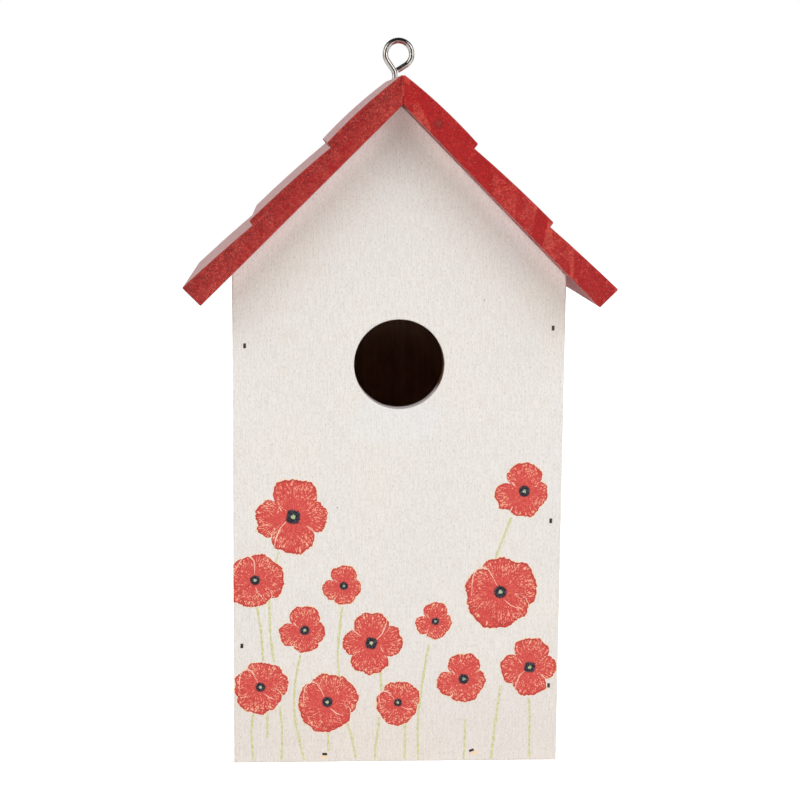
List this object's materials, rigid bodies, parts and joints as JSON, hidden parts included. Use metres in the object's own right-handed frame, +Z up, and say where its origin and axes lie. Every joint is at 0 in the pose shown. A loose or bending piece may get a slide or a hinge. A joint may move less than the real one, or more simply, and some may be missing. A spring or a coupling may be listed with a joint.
{
  "type": "birdhouse",
  "caption": "Hanging wooden birdhouse with a round entrance, a pitched roof of stepped boards, a wire screw eye at the ridge and a swinging clean-out door at the back.",
  "frame": {"origin": "on the ground under the middle of the box: the bottom centre of the bounding box", "axes": "+Z up, the entrance hole faces -Y, +X to the right when the entrance is looked at, the ridge runs along Y"},
  "size_m": [0.1604, 0.122, 0.2779],
  "materials": {
    "white_paint": "matte off-white paint over fine straight grain, with a printed row of red poppies on the front",
    "red_paint": "thin satin red stain with the end grain showing",
    "bare_wood": "planed bare softwood",
    "bright_steel": "bright plated wire",
    "dull_steel": "dull galvanised wire"
  },
  "bodies": {
    "root": {"front_wall": "white_paint", "back_wall": "white_paint", "left_wall": "white_paint", "right_wall": "white_paint", "floor_board": "bare_wood", "left_roof_board": "red_paint", "right_roof_board": "red_paint", "screw_eye": "bright_steel", "door_pivot_screw": "bright_steel", "door_lock_screw": "bright_steel", "pivot_washer": "bright_steel", "lock_washer": "bright_steel", "front_left_brads": "dull_steel", "front_right_brads": "dull_steel", "front_floor_brads": "dull_steel", "back_left_brads": "dull_steel", "back_right_brads": "dull_steel", "back_floor_brads": "dull_steel", "left_floor_brads": "dull_steel", "right_floor_brads": "dull_steel", "left_roof_brads": "dull_steel", "right_roof_brads": "dull_steel"},
    "door": {"clean_out_door": "white_paint"}
  },
  "joints": [
    {"name": "door_swing", "type": "hinge", "parent": "root", "child": "door", "pos_m": [0, 0.0527, 0.106], "axis": [0, 1, 0], "range_deg": [0, 110]}
  ]
}
